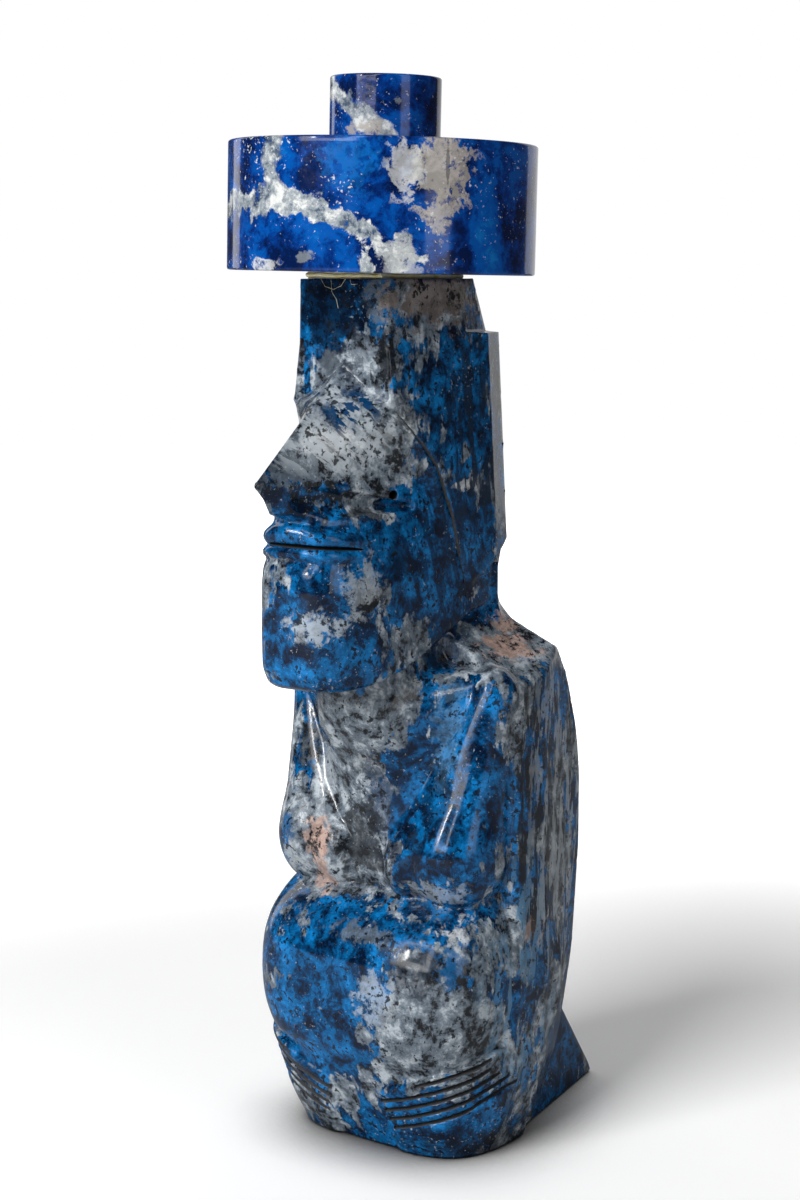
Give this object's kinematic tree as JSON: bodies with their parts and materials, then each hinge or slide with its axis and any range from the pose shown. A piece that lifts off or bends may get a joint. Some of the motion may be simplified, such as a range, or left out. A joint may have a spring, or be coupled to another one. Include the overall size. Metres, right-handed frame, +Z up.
{
  "type": "souvenir moai statue in polished blue stone",
  "caption": "Carved moai figure in polished blue stone with a flat round stone hat and a small knob on it, standing by its own weight as an ornament.",
  "frame": {"origin": "on the underside, straight below the middle of the hat", "axes": "+Z up, the figure faces -Y, its left side is +X"},
  "size_m": [0.1023, 0.164, 0.3613],
  "materials": {
    "figure_stone": "polished",
    "hat_stone": "polished",
    "cured_glue": "gloss"
  },
  "bodies": {
    "root": {"figure": "figure_stone", "hat_disc": "hat_stone", "hat_knob": "hat_stone", "glue_bead": "cured_glue"}
  },
  "joints": []
}
